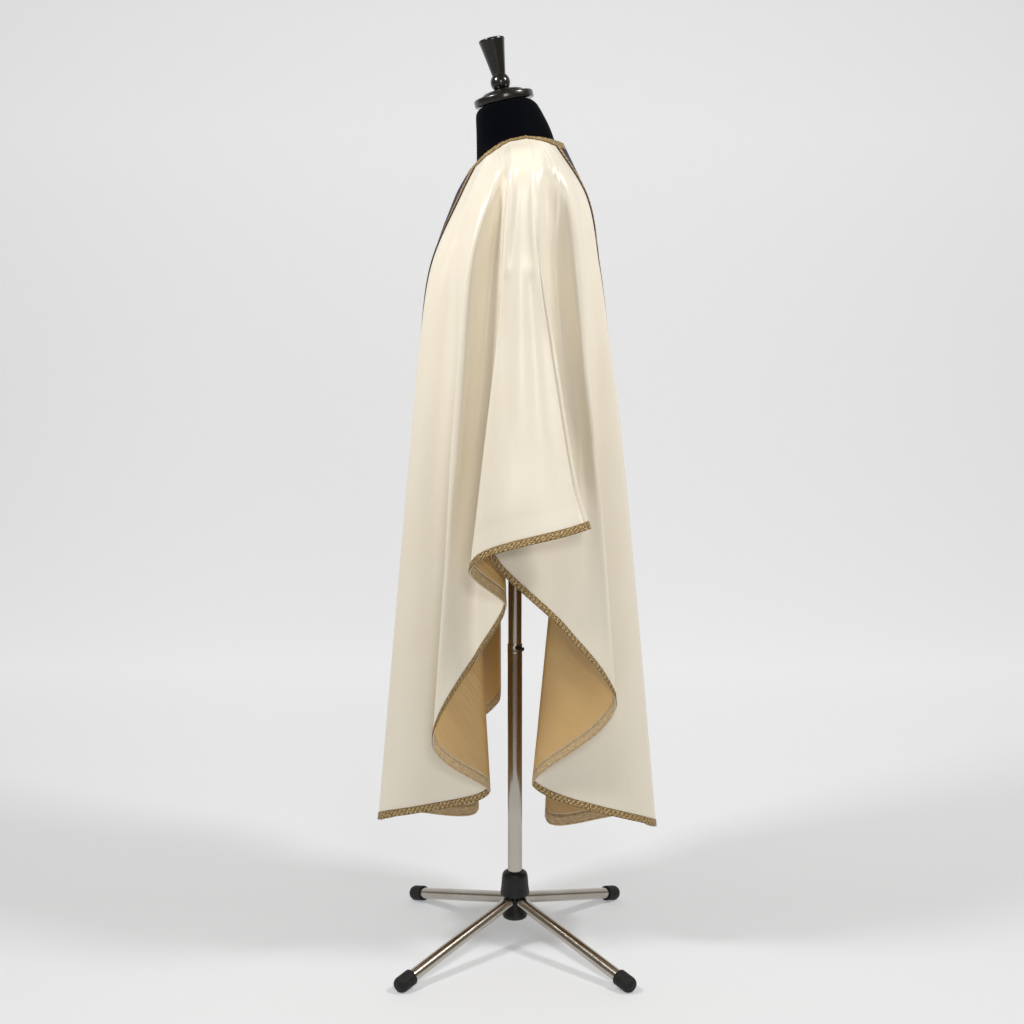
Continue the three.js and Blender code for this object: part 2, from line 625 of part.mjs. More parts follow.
// Each leg butts under the hub's skirt, and its rubber foot is worn flat on the floor.
const LEG_PLACES = [['front_left', 1, -1], ['back_left', 1, 1], ['back_right', -1, 1], ['front_right', -1, -1]];
for (const [place, sideX, sideY] of LEG_PLACES) {
  const footPoint = vector(sideX * LEG.footX, sideY * LEG.footY, LEG.footHeight);
  const hubPoint = vector(footPoint.x, footPoint.y, 0).setLength(LEG.hubReach).setZ(LEG.hubHeight);
  const footStart = footPoint.distanceTo(hubPoint) - FOOT.onLeg;
  const legProfile = [[LEG.radius, 0], [LEG.radius, footStart - SEAM_GAP]];
  addLoft(`leg_${place}`, ringsAlong(hubPoint, footPoint, legProfile, SIDES.leg), steel);
  const footProfile = FOOT.profile.map(([radius, distance]) => [radius, footStart + distance]);
  const rings = ringsAlong(hubPoint, footPoint, footProfile, SIDES.foot);
  for (const point of rings.flat()) point.z = Math.max(point.z, 0);
  addLoft(`foot_${place}`, rings, blackRubber);
}

export default object;
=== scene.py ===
"""A gothic chasuble on a limbless dress form, which stands on a pole with four legs.

Metres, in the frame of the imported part: +Z up, the front of the garment faces -Y and the
wearer's left is +X. Tables are in millimetres from the axis of the pole.
"""
import math

import bpy
import numpy as np
from mathutils import Matrix, Vector


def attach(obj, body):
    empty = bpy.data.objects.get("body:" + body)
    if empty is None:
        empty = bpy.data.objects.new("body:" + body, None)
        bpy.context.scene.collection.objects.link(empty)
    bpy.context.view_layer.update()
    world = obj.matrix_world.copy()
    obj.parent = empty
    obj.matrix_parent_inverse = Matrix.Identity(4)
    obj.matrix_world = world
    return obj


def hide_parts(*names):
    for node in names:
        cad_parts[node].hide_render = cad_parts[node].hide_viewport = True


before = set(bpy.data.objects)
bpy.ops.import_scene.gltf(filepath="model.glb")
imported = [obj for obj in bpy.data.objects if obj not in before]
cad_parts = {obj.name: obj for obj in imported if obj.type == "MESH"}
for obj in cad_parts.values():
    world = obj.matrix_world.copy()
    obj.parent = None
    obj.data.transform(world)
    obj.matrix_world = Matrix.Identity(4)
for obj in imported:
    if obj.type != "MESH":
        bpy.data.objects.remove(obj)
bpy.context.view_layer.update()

# ------------------------------------------------------------------ front and back panel
# The body of the chasuble is ivory satin, one panel for the front and one for the back.
# Each is half of a wide cone, cut from one length of satin, and they are sewn together
# along the shoulders, from the neck down to the hem over the wearer's arms.
MM = 0.001
POLE = np.array((-1.3, -3.0, 0.0))          # the axis of the pole in the frame
SATIN = 1.2                                 # thickness
SEAM_GAP = 0.3                              # between two layers of cloth
SEAM_SLIT = 0.04                            # between the two panels at the shoulder seam
FAR_SIDE_DROP = 30                          # the wearer's right side hangs lower

NECK_HALF_WIDTH, NECK_HALF_LENGTH, NECK_MIDDLE_Y = 72, 86, 2
NECK_HEIGHT = {"throat": 1471, "shoulder": 1527, "nape": 1521}
NECK_SHOULDER = 102                         # degrees round the neck from the throat

LEVEL = {"chest": 1300, "ribs": 1150, "hip": 950}
STATIONS = np.array((0, 0.12, 0.26, 0.40, 0.58, 1))

# One row for each fold line from the centre front round to the centre back: its place on
# the neck oval, how softly the cloth turns there, and the points that it passes.
FOLD_COLUMNS = ("name", "neck", "round", "shoulder", "chest", "ribs", "hip", "hem", "far_hem")
FOLD_ROWS = (
    ("centre_front", 0, 1.0, (0, -112, 1417), (0, -150), (0, -162), (0, -175),
     (0, -236, 252), None),
    ("front_bulge", 46, 1.1, (68, -87, 1431), (80, -147), (85, -171), (88, -190),
     (76, -254, 271), (76, -250, 240)),
    ("front_valley", 54, 0.5, (112, -70, 1438), (119, -110), (128, -96), (133, -84),
     (80, -50, 320), (70, -73, 239)),
    ("front_ridge", 62, 0.9, (143, -37, 1447), (163, -78), (168, -94), (171, -112),
     (165, -149, 437), (165, -152, 352)),
    ("front_groove", 66, 0.6, (147, -26, 1451), (138, -42), (138, -55), (141, -70),
     (166, -68, 598), (160, -86, 392)),
    ("sleeve_valley", 70, 0.5, (155, -17, 1456), (151, -18), (152, -26), (162, -26),
     (185, -16, 693), (172, -30, 440)),
    ("sleeve_front", 82, 0.65, (183, -8, 1468), (201, -19), (208, -35), (224, -59),
     (243, -79, 770), (236, -88, 706)),
    ("shoulder_seam", 102, 1.0, (187, 31, 1469), (207, 38), (216, 58), (238, 91),
     (258, 116, 840), None),
    ("sleeve_back", 106, 0.7, (186, 44, 1466), (205, 50), (213, 70), (236, 101),
     (255, 128, 844), None),
    ("sleeve_inside", 112, 0.5, (171, 60, 1462), (160, 50), (170, 42), (202, -14),
     (226, -40, 795), None),
    ("back_wave", 117, 0.8, (161, 73, 1456), (151, 74), (151, 90), (164, 110),
     (206, 90, 650), (200, 84, 600)),
    ("back_ridge", 122, 0.9, (150, 88, 1448), (162, 110), (168, 124), (173, 147),
     (185, 179, 515), (180, 176, 452)),
    ("back_valley", 127, 0.5, (122, 102, 1440), (128, 118), (134, 114), (140, 92),
     (80, 35, 334), (70, 63, 219)),
    ("back_bulge", 132, 1.1, (70, 125, 1425), (80, 149), (85, 168), (88, 193),
     (70, 260, 256), (72, 256, 236)),
    ("centre_back", 180, 1.0, (0, 134, 1417), (0, 148), (0, 163), (0, 180),
     (0, 250, 240), None),
)
FOLDS = [dict(zip(FOLD_COLUMNS, row)) for row in FOLD_ROWS]


def neck_point(degrees, side):
    """A point of the neck oval, which rises from the throat over the shoulder to the nape."""
    over = degrees > NECK_SHOULDER
    share = (180 - degrees) / (180 - NECK_SHOULDER) if over else degrees / NECK_SHOULDER
    low = NECK_HEIGHT["nape" if over else "throat"]
    rise = (1 - math.cos(math.pi * share)) / 2
    angle = math.radians(degrees)
    return (
        side * NECK_HALF_WIDTH * math.sin(angle),
        NECK_MIDDLE_Y - NECK_HALF_LENGTH * math.cos(angle),
        low + (NECK_HEIGHT["shoulder"] - low) * rise,
    )


def fold_stations(fold, side):
    """The points of one fold line, from the neck down to the hem."""
    hem = fold["hem"]
    if side < 0:
        drop = FAR_SIDE_DROP if 0 < fold["neck"] < 180 else 0
        hem = fold["far_hem"] or (hem[0], hem[1], hem[2] - drop)
    levels = [(side * fold[name][0], fold[name][1], height) for name, height in LEVEL.items()]
    shoulder = fold["shoulder"]
    return [
        neck_point(fold["neck"], side),
        (side * shoulder[0], shoulder[1], shoulder[2]),
        *levels,
        (side * hem[0], hem[1], hem[2]),
    ]


left_lines = [fold_stations(fold, 1) for fold in FOLDS]
right_lines = [fold_stations(fold, -1) for fold in FOLDS[-2:0:-1]]
LINES = np.array(left_lines + right_lines, dtype=float)
ROUND = np.array([fold["round"] for fold in FOLDS + FOLDS[-2:0:-1]])
LINE_OF = {fold["name"]: index for index, fold in enumerate(FOLDS)}
CENTRE_BACK = LINE_OF["centre_back"]
SEAM = LINE_OF["shoulder_seam"]
FAR_SEAM = len(LINES) - SEAM

# the slope of each fold line at its stations
before = np.maximum(np.arange(len(STATIONS)) - 1, 0)
after = np.minimum(np.arange(len(STATIONS)) + 1, len(STATIONS) - 1)
LINE_SLOPES = (LINES[:, after] - LINES[:, before]) / (STATIONS[after] - STATIONS[before])[:, None]


def hermite(start, end, start_slope, end_slope, share):
    """The smooth curve between two points with given slopes."""
    share = share[..., None]
    square, cube = share ** 2, share ** 3
    return (
        start * (2 * cube - 3 * square + 1)
        + start_slope * (cube - 2 * square + share)
        + end * (3 * square - 2 * cube)
        + end_slope * (cube - square)
    )


def on_line(line, down):
    """The point of a fold line at a share of the way down."""
    line = line % len(LINES)
    step = np.clip(np.searchsorted(STATIONS, down, side="right") - 1, 0, len(STATIONS) - 2)
    span = (STATIONS[step + 1] - STATIONS[step])[..., None]
    share = (down - STATIONS[step]) / span[..., 0]
    return hermite(
        LINES[line, step], LINES[line, step + 1],
        LINE_SLOPES[line, step] * span, LINE_SLOPES[line, step + 1] * span, share,
    )


def unit(vectors):
    """The same directions with a length of 1."""
    return vectors / np.maximum(np.linalg.norm(vectors, axis=-1, keepdims=True), 1e-9)


SHARP_AT_NECK, SOFTER_DOWN = 0.45, 1.2      # how roundness grows from the neck down


def bare_point(line, down):
    """The outer face of the satin at a place between two fold lines."""
    line, down = np.broadcast_arrays(np.asarray(line, float), np.asarray(down, float))
    start = np.floor(line).astype(int)
    ahead, a, b, beyond = (on_line(start + step, down) for step in (-1, 0, 1, 2))
    width = np.linalg.norm(b - a, axis=-1)
    grown = np.minimum(1, SHARP_AT_NECK + SOFTER_DOWN * down)
    count = len(LINES)
    reach_a = (ROUND[start % count] * grown * width)[..., None]
    reach_b = (ROUND[(start + 1) % count] * grown * width)[..., None]
    slope_a = unit(unit(a - ahead) + unit(b - a)) * reach_a
    slope_b = unit(unit(b - a) + unit(beyond - b)) * reach_b
    return hermite(a, b, slope_a, slope_b, line - start)


STEP_ACROSS, STEP_DOWN = 0.01, 0.002        # how far apart a normal is measured


def normals_of(surface, line, down):
    """Outward directions of a surface, measured between points beside each place."""
    low, high = np.clip(down - STEP_DOWN, 0, 1), np.clip(down + STEP_DOWN, 0, 1)
    across = surface(line + STEP_ACROSS, down) - surface(line - STEP_ACROSS, down)
    along = surface(line, high) - surface(line, low)
    return unit(np.cross(along, across))


# Folds that are finer than the fold lines, pressed into the satin over both arms: outward
# height, width before and after the fold, and its points as Y and height.
CREASE_COLUMNS = ("height", "before", "after", "path")
CREASES = [dict(zip(CREASE_COLUMNS, row)) for row in (
    (8, 6, 8, ((-3, 1477), (-5, 1450), (-8, 1400), (-13, 1339), (-22, 1250), (-30, 1170))),
    (-7, 8, 6, ((-18, 1463), (-22, 1430), (-28, 1380), (-36, 1320), (-48, 1240))),
    (8, 8, 7, ((44, 1477), (41, 1455), (39, 1410), (41, 1350),
     (44, 1290), (54, 1220), (64, 1150))),
    (-6, 6, 11, ((57, 1463), (57, 1430), (59, 1380), (62, 1320), (72, 1240))),
    (4, 12, 12, ((78, 1472), (84, 1445), (99, 1397), (113, 1331),
     (126, 1168), (130, 1029), (131, 850))),
    (-4, 8, 10, ((112, 1420), (134, 1305), (145, 1168), (149, 1029), (152, 888), (152, 760))),
    (3, 11, 12, ((10, 1478), (6, 1430), (3, 1300), (5, 1168), (8, 1029), (10, 888))),
    (-2.5, 8, 8, ((-15, 1290), (-17, 1168), (-19, 1029), (-24, 920))),
    (-2.5, 10, 9, ((26, 1290), (34, 1168), (42, 1029), (50, 890))),
    (4.5, 11, 9, ((-52, 1440), (-79, 1305), (-93, 1168), (-102, 1029),
     (-114, 888), (-118, 700), (-120, 520))),
    (-5, 15, 13, ((-84, 1400), (-112, 1305), (-126, 1168), (-136, 1029),
     (-147, 888), (-150, 700), (-152, 480))),
)]
CREASE_RISE, CREASE_FALL = 0.06, 0.75       # shares of a crease over which it grows and fades


def ramp(share):
    """A smooth rise from 0 to 1."""
    share = np.clip(share, 0, 1)
    return share * share * (3 - 2 * share)


def crease_height(points):
    """How far the creases lift the satin at each point, in millimetres."""
    total = np.zeros(points.shape[:-1])
    for crease in CREASES:
        path = np.array(crease["path"][::-1], dtype=float)
        middle = np.interp(points[..., 2], path[:, 1], path[:, 0])
        offset = points[..., 1] - middle
        width = np.where(offset < 0, crease["before"], crease["after"])
        fallen = (path[-1, 1] - points[..., 2]) / (path[-1, 1] - path[0, 1])
        share = ramp(fallen / CREASE_RISE) * ramp((1 - fallen) / CREASE_FALL)
        total += crease["height"] * share * np.exp(-(offset / width) ** 2)
    return total


# Behind the back edge of each sleeve the cloth turns in under it, and the creases fade out:
# the fold lines from where to where, over what share of a fold line, and the heights.
TURN_IN_FROM, TURN_IN_TO, TURN_IN_SHARE = LINE_OF["sleeve_back"] + 0.3, LINE_OF["back_wave"], 0.4
TURN_IN_TOP, TURN_IN_FALL = 1420, 60


def turned_in(line, points):
    """The share by which a place is turned in behind the back edge of a sleeve."""
    around = np.minimum(line % len(LINES), -line % len(LINES))
    starts = ramp((around - TURN_IN_FROM) / TURN_IN_SHARE)
    stops = ramp((TURN_IN_TO - around) / TURN_IN_SHARE)
    return starts * stops * ramp((TURN_IN_TOP - points[..., 2]) / TURN_IN_FALL)


# The slight waves of hanging cloth: how many go round the garment, where they start, how
# far they drift from neck to hem, and their height.
WAVES = ((17, 0.4, 2.5, 1.6), (37, 1.9, -3.5, 1.1), (61, 4.1, 5.0, 0.5), (103, 2.6, -6.0, 0.2))
WAVES_AT_NECK = 0.15
SEAM_RIDGE, SEAM_RIDGE_WIDTH = 0.9, 3.5     # the seam allowance shows as a ridge


def wave_height(line, down):
    """How far the waves lift the satin at each place."""
    total = np.zeros(np.broadcast(line, down).shape)
    turn = 2 * math.pi * line / len(LINES)
    for count, start, drift, height in WAVES:
        total = total + height * np.sin(count * turn + start + drift * down)
    return total * (WAVES_AT_NECK + (1 - WAVES_AT_NECK) * ramp(down / 0.4))


def seam_height(line, down):
    """The ridge along the shoulder seams."""
    total = 0
    for seam in (SEAM, FAR_SEAM):
        turns = (line - seam + len(LINES) / 2) % len(LINES) - len(LINES) / 2
        seam_points, next_points = (
            on_line(np.full(down.shape, index), down) for index in (seam, seam - 1))
        width = np.linalg.norm(seam_points - next_points, axis=-1)
        total = total + np.exp(-(turns * width / SEAM_RIDGE_WIDTH) ** 2)
    return total * SEAM_RIDGE


def cloth_point(line, down):
    """The outer face of the satin with its fine folds."""
    line, down = np.broadcast_arrays(np.asarray(line, float), np.asarray(down, float))
    bare = bare_point(line, down)
    creases = crease_height(bare) * (1 - turned_in(line, bare))
    height = creases + wave_height(line, down) + seam_height(line, down)
    return bare + normals_of(bare_point, line, down) * height[..., None]


def sheet_points(line, down, away):
    """Points of a sheet of cloth that lies away from the outer face of the satin."""
    line, down = np.broadcast_arrays(np.asarray(line, float), np.asarray(down, float))
    away = np.broadcast_to(np.asarray(away, float), line.shape)
    return cloth_point(line, down) + normals_of(cloth_point, line, down) * away[..., None]


FINE_ACROSS = 0.05                          # spacing of trial places, in fold lines


def line_at_width(centre, toward, width, down):
    """The places that lie width away from a centre line, going one way round."""
    trial = centre + toward * np.arange(0, 1 + FINE_ACROSS / 2, FINE_ACROSS)
    points = cloth_point(trial[None, :], down[:, None])
    away = np.linalg.norm(points - points[:, :1], axis=-1)
    return np.array([np.interp(width, row, trial) for row in away])


SEARCH_PLACES, SEARCH_TOP = 60, 0.85        # trial places up from the hem, and the highest of them


def down_at_distance(line, end, distance):
    """The share of the way down at which a column is distance away from its end."""
    trial = np.linspace(end, STATIONS[1] if end == 0 else SEARCH_TOP, SEARCH_PLACES)
    points = cloth_point(np.asarray(line)[..., None], trial)
    steps = np.linalg.norm(np.diff(points, axis=-2), axis=-1)
    start = np.zeros(steps.shape[:-1] + (1,))
    length = np.concatenate([start, np.cumsum(steps, axis=-1)], axis=-1)
    flat = length.reshape(-1, len(trial))
    return np.array([np.interp(distance, row, trial) for row in flat]).reshape(length.shape[:-1])


CLOTH_CORNER = math.radians(50)             # a turn that is an edge of the cloth and not a fold


def wall(name, outer, inner, across, along, closed=False):
    """A solid sheet between two grids of points [row][column], rows going down.

    across and along are the places of the columns and rows on the cloth, in metres.
    """
    rows, columns = outer.shape[:2]
    points = np.concatenate([outer.reshape(-1, 3), inner.reshape(-1, 3)]) + POLE
    inside = rows * columns
    last = columns if closed else columns - 1

    def at(row, column):
        return row * columns + column % columns

    faces = []
    for row in range(rows - 1):
        for column in range(last):
            a, b = at(row, column), at(row, column + 1)
            e, d = at(row + 1, column), at(row + 1, column + 1)
            faces.append((a, e, d, b))
            faces.append((inside + a, inside + b, inside + d, inside + e))
    for column in range(last):
        a, b = at(0, column), at(0, column + 1)
        e, d = at(rows - 1, column), at(rows - 1, column + 1)
        faces.append((a, b, inside + b, inside + a))
        faces.append((e, inside + e, inside + d, d))
    for row in range(0 if closed else rows - 1):
        a, e = at(row, 0), at(row + 1, 0)
        b, d = at(row, columns - 1), at(row + 1, columns - 1)
        faces.append((a, inside + a, inside + e, e))
        faces.append((b, d, inside + d, inside + b))
    mesh = bpy.data.meshes.new(name)
    mesh.from_pydata((points * MM).tolist(), [], faces)
    piece = bpy.data.objects.new(name, mesh)
    bpy.context.collection.objects.link(piece)
    add_cloth_map(mesh, across, along)
    mesh.polygons.foreach_set("use_smooth", [True] * len(mesh.polygons))
    mesh.set_sharp_from_angle(angle=CLOTH_CORNER)
    return piece


def add_cloth_map(mesh, across, along):
    """A UV map in metres of cloth: across the piece, and down from its upper edge."""
    corner = np.empty(len(mesh.loops), dtype=int)
    mesh.loops.foreach_get("vertex_index", corner)
    corner %= across.size
    places = np.stack([across.ravel()[corner], along.ravel()[corner]], axis=-1)
    mesh.uv_layers.new(name="cloth").data.foreach_set("uv", places.ravel())


def cloth_places(points):
    """How far each point lies from the first column and from the first row, in metres."""
    steps_across = np.diff(points, axis=1, prepend=points[:, :1])
    steps_along = np.diff(points, axis=0, prepend=points[:1])
    across = np.cumsum(np.linalg.norm(steps_across, axis=-1), axis=1)
    along = np.cumsum(np.linalg.norm(steps_along, axis=-1), axis=0)
    return across * MM, along * MM


# columns of cloth from each fold line to the next
CELLS = {
    "centre_front": 20, "front_bulge": 16, "front_valley": 16, "front_ridge": 12,
    "front_groove": 10, "sleeve_valley": 14, "sleeve_front": 22, "shoulder_seam": 4,
    "sleeve_back": 12, "sleeve_inside": 12, "back_wave": 12, "back_ridge": 14,
    "back_valley": 14, "back_bulge": 20,
}
ROWS, ROW_SPREAD = 150, 0.9                 # below 1, the rows lie closer towards the hem


def half_lines(first, last):
    """Places of the columns from one fold line to another, further down the table."""
    places = [float(first)]
    for line in range(first, last):
        count = CELLS[FOLDS[line]["name"]]
        places += [line + (step + 1) / count for step in range(count)]
    return places


front_half = half_lines(0, SEAM)
back_half = half_lines(SEAM, CENTRE_BACK)
FRONT_LINES = np.array([-place for place in front_half[:0:-1]] + front_half)
BACK_LINES = np.array(back_half + [2 * CENTRE_BACK - place for place in back_half[-2::-1]])
PANEL_LINES = {"front": FRONT_LINES, "back": BACK_LINES}
PANEL_MIDDLES = {"front": 0, "back": CENTRE_BACK}
DOWN = np.linspace(0, 1, ROWS) ** ROW_SPREAD


def part_seams(points):
    """Draws the edge columns of a panel in by half of the slit at the shoulder seam."""
    for edge, beside in ((0, 1), (-1, -2)):
        points[:, edge] += unit(points[:, beside] - points[:, edge]) * SEAM_SLIT / 2


def panel_sheet(lines, downs, outer_away, inner_away):
    """The two faces of a panel, and the places on its cloth."""
    outer = sheet_points(lines[None, :], downs, outer_away)
    inner = sheet_points(lines[None, :], downs, inner_away)
    part_seams(outer)
    part_seams(inner)
    return outer, inner, *cloth_places(outer)


class Wire:
    """A value in a shader tree, so that sums on it read as Python."""

    def __init__(self, tree, socket=None):
        self.tree, self.socket = tree, socket

    def node(self, kind, settings=None, sockets=None, output=0):
        """A new node: its settings come first, then the values or wires of its sockets."""
        node = self.tree.nodes.new(kind)
        for name, value in (settings or {}).items():
            if name == "stops":
                while len(node.color_ramp.elements) < len(value):
                    node.color_ramp.elements.new(0.5)
                for element, (place, colour) in zip(node.color_ramp.elements, value):
                    element.position, element.color = place, colour
            else:
                setattr(node, name, value)
        for name, value in (sockets or {}).items():
            self.join(value, node.inputs[name])
        return Wire(self.tree, node.outputs[output])

    def join(self, value, target):
        if isinstance(value, Wire):
            self.tree.links.new(value.socket, target)
        else:
            target.default_value = value

    def maths(self, operation, *values):
        return self.node("ShaderNodeMath", {"operation": operation}, dict(enumerate(values)))

    def __add__(self, other):
        return self.maths("ADD", self, other)

    def __sub__(self, other):
        return self.maths("SUBTRACT", self, other)

    def __rsub__(self, other):
        return self.maths("SUBTRACT", other, self)

    def __mul__(self, other):
        return self.maths("MULTIPLY", self, other)

    __radd__, __rmul__ = __add__, __mul__


class Finish:
    """A surface finish: a material, its shader, and the wires that its pattern starts from."""

    def __init__(self, name, constants):
        self.material = bpy.data.materials.new(name)
        self.material.use_nodes = True
        tree = self.material.node_tree
        self.shader = tree.nodes["Principled BSDF"]
        for socket, value in constants.items():
            self.shader.inputs[socket].default_value = value
        self.start = Wire(tree)

    def cloth(self):
        """Places on the piece of cloth, in metres across and along."""
        return self.start.node("ShaderNodeUVMap", {"uv_map": "cloth"})

    def space(self):
        """Places in the object, in metres."""
        return self.start.node("ShaderNodeTexCoord", output="Object")

    def noise(self, where, scale, detail=3.0, roughness=0.5, stretch=(1, 1, 1)):
        """Soft random tones from 0 to 1, drawn out along some axes."""
        placed = self.start.node("ShaderNodeMapping", sockets={"Vector": where, "Scale": stretch})
        return self.start.node("ShaderNodeTexNoise", {}, {
            "Vector": placed, "Scale": scale, "Detail": detail, "Roughness": roughness})

    def blend(self, share, first, second):
        """A colour between two others."""
        return self.start.node("ShaderNodeMix", {"data_type": "RGBA"}, {
            0: share, 6: first, 7: second}, output=2)

    def split(self, vector):
        """The three parts of a vector."""
        node = self.start.node("ShaderNodeSeparateXYZ", sockets={0: vector})
        return [Wire(node.tree, output) for output in node.socket.node.outputs]

    def give(self, **sockets):
        """Joins wires to the shader's own sockets."""
        for name, value in sockets.items():
            self.start.join(value, self.shader.inputs[name.replace("_", " ")])

    def raise_by(self, height, distance, strength=1.0):
        """Lifts the surface by a height from 0 to 1, in metres."""
        bump = self.start.node("ShaderNodeBump", {}, {
            "Height": height, "Distance": distance, "Strength": strength})
        self.give(Normal=bump)


def rgba(red, green, blue):
    """A colour as the shader wants it, from its values on a screen."""
    linear = [(value / 255) ** 2.2 for value in (red, green, blue)]
    return (*linear, 1)


def settle(piece, finish, body, nodes):
    """Gives a finished piece its finish, its body and the nodes that it stands for."""
    piece.data.materials.append(finish.material)
    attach(piece, body)
    if nodes:
        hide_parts(*nodes)


satin = Finish("ivory satin", {
    "Sheen Weight": 0.35, "Sheen Roughness": 0.3, "Specular IOR Level": 0.9})
satin_tone = satin.noise(satin.cloth(), 5, 3, 0.5, (1, 0.35, 1))
satin_threads = satin.noise(satin.cloth(), 900, 2, 0.6, (1, 0.12, 1))
satin_give = satin.noise(satin.space(), 17, 3, 0.55, (1, 1, 0.4))
satin.give(
    Base_Color=satin.blend(
        satin_tone * 0.7 + satin_threads * 0.3, rgba(233, 223, 201), rgba(245, 239, 226)),
    Roughness=satin_tone * 0.08 + satin_threads * 0.06 + 0.3,
)
satin.raise_by(satin_threads * 0.03 + satin_give, 0.0036, 0.42)

for side, lines in PANEL_LINES.items():
    downs = np.broadcast_to(DOWN[:, None], (len(DOWN), len(lines)))
    outer, inner, across, along = panel_sheet(lines, downs, 0, -SATIN)
    panel = wall(f"{side}_satin_panel", outer, inner, across, along)
    settle(panel, satin, "form", [f"{side}_panel"])

# ------------------------------------------------------------------ front and back lining
# A gold satin lining hangs inside each panel, cut a little shorter than it. Its lower edge
# is sewn to the hem facing.
LINING = 1.0
LINING_IN = SATIN + SEAM_GAP                # the lining's outer face, inwards from the satin
FACING_HEIGHT = 22
LINING_SHORT = 2                            # the lining stops this far above the hem facing
LINING_ROWS = 90

lining = Finish("gold lining", {
    "Sheen Weight": 0.15, "Specular IOR Level": 0.6, "Sheen Tint": rgba(255, 226, 170)})
lining_tone = lining.noise(lining.cloth(), 9, 3, 0.5, (1, 0.5, 1))
lining_threads = lining.noise(lining.cloth(), 800, 2, 0.6, (1, 0.15, 1))
lining_folds = lining.noise(lining.cloth(), 22, 3, 0.5, (1, 0.5, 1))
lining.give(
    Base_Color=lining.blend(
        lining_tone * 0.8 + lining_threads * 0.2, rgba(196, 158, 98), rgba(224, 187, 126)),
    Roughness=lining_threads * 0.1 + 0.28,
)
lining.raise_by(lining_folds + lining_threads * 0.04, 0.006, 0.5)

linings = {}
for side, lines in PANEL_LINES.items():
    ends = down_at_distance(lines, 1, FACING_HEIGHT + LINING_SHORT)
    downs = np.linspace(0, 1, LINING_ROWS)[:, None] * ends[None, :]
    outer, inner, across, along = panel_sheet(lines, downs, -LINING_IN, -LINING_IN - LINING)
    linings[side] = wall(f"{side}_gold_lining", outer, inner, across, along)
    settle(linings[side], lining, "form", [f"{side}_lining"])

# ------------------------------------------------------------------ hem facing
# A bias strip of gold-beige satin finishes the hem inside, between the edge of the satin
# and the lining. Two rows of stitches hold it.
FACING = 1.0
FACING_GAP = 0.25                           # between the satin and the facing
FACING_IN = SATIN + FACING_GAP
FACING_ROWS = (0, 0.06, 0.2, 0.5, 0.8, 0.94, 1)
FACING_THIN = 0.35                          # thickness of the facing at its folded edges
# metres from an edge of the facing to a row of stitches, and half the width of the row
STITCH_EDGE, STITCH_HALF_WIDTH = 0.0035, 0.0005

facing = Finish("hem facing", {"Sheen Weight": 0.2, "Specular IOR Level": 0.6, "Metallic": 0.15})
facing_speck = facing.noise(facing.cloth(), 300, 4, 0.75, (0.35, 1, 1))
facing_puckers = facing.noise(facing.cloth(), 90, 2, 0.5, (1, 0.15, 1))
facing_down = facing.split(facing.cloth())[1]
facing_middle = facing_down.maths("ABSOLUTE", facing_down - FACING_HEIGHT * MM / 2)
from_stitches = facing_middle.maths(
    "ABSOLUTE", facing_middle - (FACING_HEIGHT * MM / 2 - STITCH_EDGE))
stitch_line = from_stitches.maths("LESS_THAN", from_stitches, STITCH_HALF_WIDTH)
# painted sheen: bright specks of gleam are painted into the facing's colour; the rows of stitches
# are darker thread
facing_painted_sheen = facing_speck.maths("SMOOTH_MIN", facing_speck * 2.2 - 0.6, 1, 0.2)
facing_sheen_and_stitches = facing_painted_sheen - stitch_line * 0.4
facing.give(
    Base_Color=facing.blend(facing_sheen_and_stitches, rgba(150, 116, 72), rgba(236, 212, 166)),
    Roughness=facing_speck * 0.25 + 0.24,
)
facing.raise_by(facing_speck * 0.3 + facing_puckers - stitch_line * 0.5, 0.0012, 0.7)

facings = {}
for side, lines in PANEL_LINES.items():
    tops = down_at_distance(lines, 1, FACING_HEIGHT)
    share = np.array(FACING_ROWS)[:, None]
    downs = tops[None, :] + (1 - tops[None, :]) * share
    thick = np.where((share == 0) | (share == 1), FACING_THIN, FACING)
    outer, inner, across, along = panel_sheet(lines, downs, -FACING_IN, -FACING_IN - thick)
    facings[side] = wall(f"{side}_hem_facing", outer, inner, across, along)
    settle(facings[side], facing, "form", [])

# ------------------------------------------------------------------ orphreys
# A band of dark violet silk is laid down the middle of each panel, from the neck to the
# hem braid. It is a flat ribbed cloth.
BRAID_WIDTH = 14
ORPHREY_HALF = 50
ORPHREY = 1.0
ORPHREY_COLUMNS = 16
ORPHREY_ROWS = 150
EDGE = 0.35                                 # what a piece is trimmed by at its ends
SILK_RIB = 0.0012                           # metres from one rib of the silk to the next

silk = Finish("orphrey silk", {
    "Sheen Weight": 0.04, "Sheen Roughness": 0.4, "Specular IOR Level": 0.25})
silk_along = silk.split(silk.cloth())[1]
silk_tone = silk.noise(silk.cloth(), 60, 3)
silk_rib = silk_along.maths("SINE", silk_along * (2 * math.pi / SILK_RIB)) * 0.5 + 0.5
silk.give(
    Base_Color=silk.blend(silk_tone, rgba(20, 14, 44), rgba(36, 27, 72)),
    Roughness=silk_tone * 0.15 + 0.45,
)
silk.raise_by(silk_rib, 0.0002, 0.5)


def strip_grid(centre, widths):
    """Places of a strip along a centre line, between the neck braid and the hem braid."""
    shares = np.linspace(0, 1, ORPHREY_ROWS)
    centre_line = np.array([float(centre)])
    top = down_at_distance(centre_line, 0, BRAID_WIDTH + EDGE)
    bottom = down_at_distance(centre_line, 1, BRAID_WIDTH + EDGE)
    downs = top + (bottom - top) * shares
    lines = np.stack([
        line_at_width(centre, 1 if width >= 0 else -1, abs(width), downs) for width in widths
    ], axis=1)
    tops = down_at_distance(lines[0], 0, BRAID_WIDTH + EDGE)
    bottoms = down_at_distance(lines[-1], 1, BRAID_WIDTH + EDGE)
    return lines, tops[None, :] + (bottoms - tops)[None, :] * shares[:, None]


